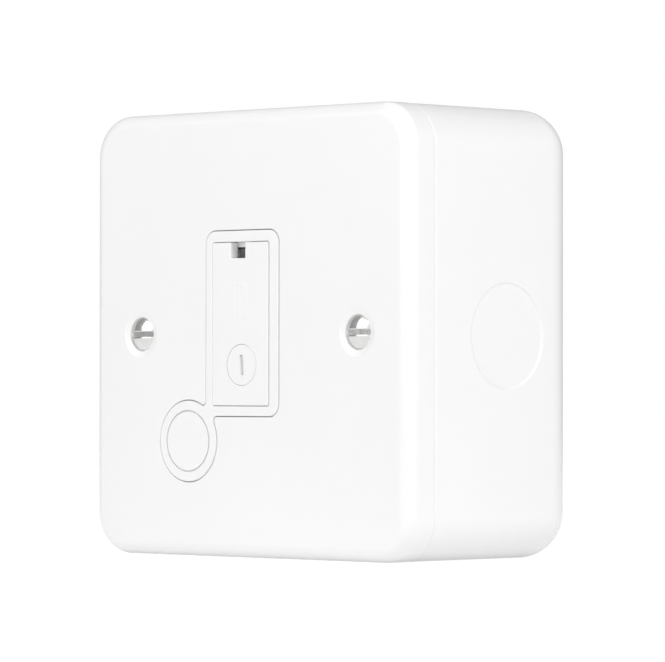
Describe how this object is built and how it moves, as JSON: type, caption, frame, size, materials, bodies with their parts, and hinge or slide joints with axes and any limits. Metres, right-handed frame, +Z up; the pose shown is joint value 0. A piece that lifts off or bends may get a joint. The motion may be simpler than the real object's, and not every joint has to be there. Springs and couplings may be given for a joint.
{
  "type": "fused connection unit",
  "caption": "Square white fused spur unit on a deep surface-mounting box, with a flush pull-out fuse carrier, a slotted carrier lock, a round flex outlet and raised slotted screws.",
  "frame": {"origin": "middle of the box's flat back, on the wall", "axes": "+Z up the wall, +X to the right seen from the front, +Y into the wall, front face towards -Y"},
  "size_m": [0.088, 0.0489, 0.088],
  "materials": {
    "white_moulding": "glossy",
    "grey_moulding": "matt",
    "nickel_plate": "bright plated",
    "zinc_steel": "satin",
    "brass": "turned",
    "spring_bronze": "pressed strip",
    "ceramic": "glazed ceramic"
  },
  "bodies": {
    "unit": {"back_box": "white_moulding", "front_plate": "white_moulding", "fuse_housing": "white_moulding", "plate_screw_left": "nickel_plate", "plate_screw_right": "nickel_plate", "box_insert_left": "brass", "box_insert_right": "brass", "terminal_cover": "grey_moulding", "cord_clamp": "grey_moulding", "case_screws": "zinc_steel", "terminal_screws": "brass", "clamp_screws": "zinc_steel", "live_supply_terminal": "brass", "live_load_terminal": "brass", "neutral_bar": "brass", "earth_bar": "brass", "supply_contact": "spring_bronze", "load_contact": "spring_bronze"},
    "carrier": {"fuse_carrier": "white_moulding", "fuse_tube": "ceramic", "fuse_cap_upper": "nickel_plate", "fuse_cap_lower": "nickel_plate"},
    "lock": {"carrier_lock": "white_moulding"}
  },
  "joints": [
    {"name": "carrier_slide", "type": "slide", "parent": "unit", "child": "carrier", "axis": [0, -1, 0], "range_m": [0, 0.024]},
    {"name": "lock_turn", "type": "hinge", "parent": "carrier", "child": "lock", "pos_m": [-0.00127, -0.0487, -0.0062], "axis": [0, 1, 0], "range_deg": [0, 90]}
  ]
}
